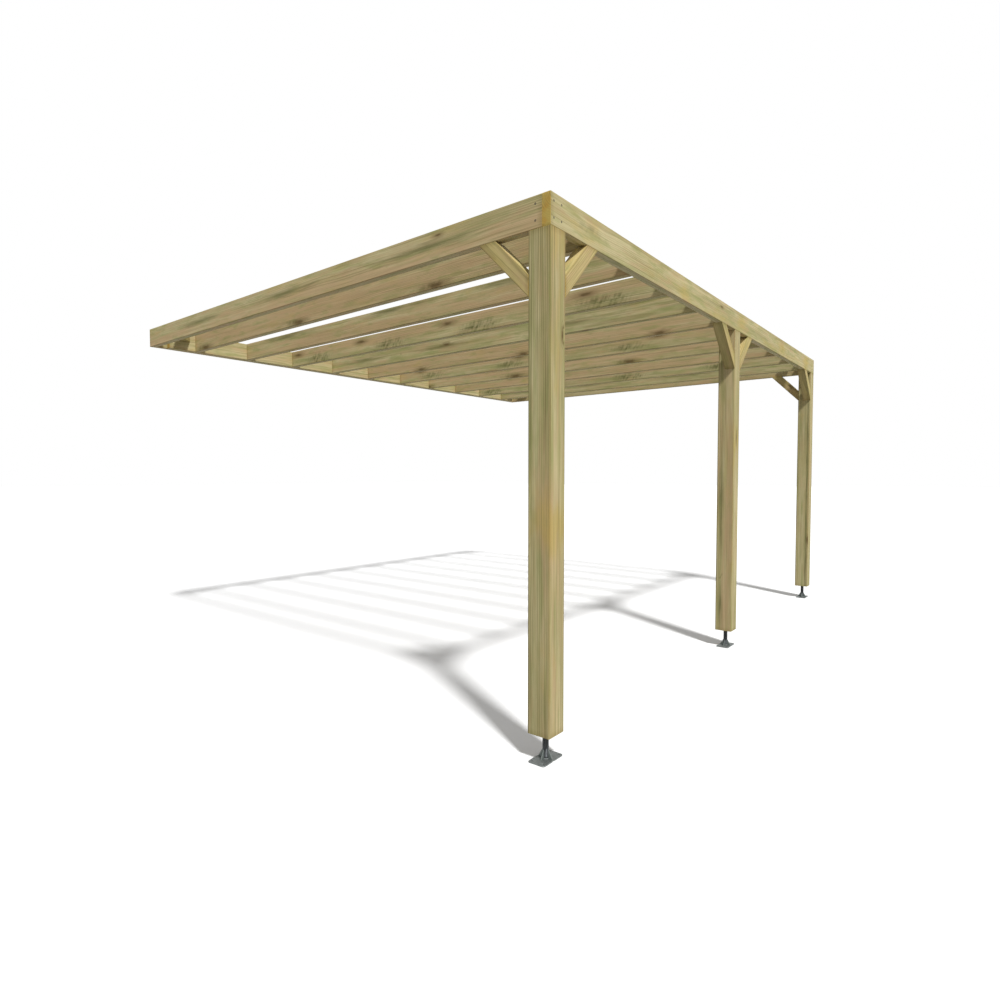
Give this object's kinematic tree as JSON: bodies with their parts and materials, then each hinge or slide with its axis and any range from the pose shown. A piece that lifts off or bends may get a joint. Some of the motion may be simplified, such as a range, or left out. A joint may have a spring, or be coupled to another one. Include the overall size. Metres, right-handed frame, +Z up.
{
  "type": "lean-to pergola",
  "caption": "Wall-mounted lean-to pergola in pressure-treated timber: square posts on steel feet, front and side beams, open rafters, knee braces and corner braces.",
  "frame": {"origin": "centre of the wall board's back face, on the wall, at mid height of the beams", "axes": "+Y into the wall, -Y to the front with the posts, +Z up, X along the wall"},
  "size_m": [5.04, 4.045, 2.53],
  "materials": {
    "beam_timber": "planed, pressure-treated pine, slightly green",
    "post_timber": "planed, pressure-treated pine with vertical grain",
    "brace_timber": "planed, pressure-treated pine",
    "galvanised_steel": "dull dark galvanised"
  },
  "bodies": {
    "root": {"wall_board": "beam_timber", "header_beam": "beam_timber", "front_beam": "beam_timber", "side_beam_left": "beam_timber", "side_beam_right": "beam_timber", "rafter_1": "beam_timber", "rafter_2": "beam_timber", "rafter_3": "beam_timber", "rafter_4": "beam_timber", "rafter_5": "beam_timber", "rafter_6": "beam_timber", "rafter_7": "beam_timber", "rafter_8": "beam_timber", "rafter_9": "beam_timber", "rafter_10": "beam_timber", "post_left": "post_timber", "post_middle": "post_timber", "post_right": "post_timber", "post_foot_left": "galvanised_steel", "post_foot_middle": "galvanised_steel", "post_foot_right": "galvanised_steel", "knee_brace_side_left": "brace_timber", "knee_brace_front_left": "brace_timber", "knee_brace_middle_left": "brace_timber", "knee_brace_middle_right": "brace_timber", "knee_brace_front_right": "brace_timber", "knee_brace_side_right": "brace_timber", "corner_brace_front_left": "brace_timber", "corner_brace_front_right": "brace_timber", "corner_brace_wall_left": "brace_timber", "corner_brace_wall_right": "brace_timber"}
  },
  "joints": []
}
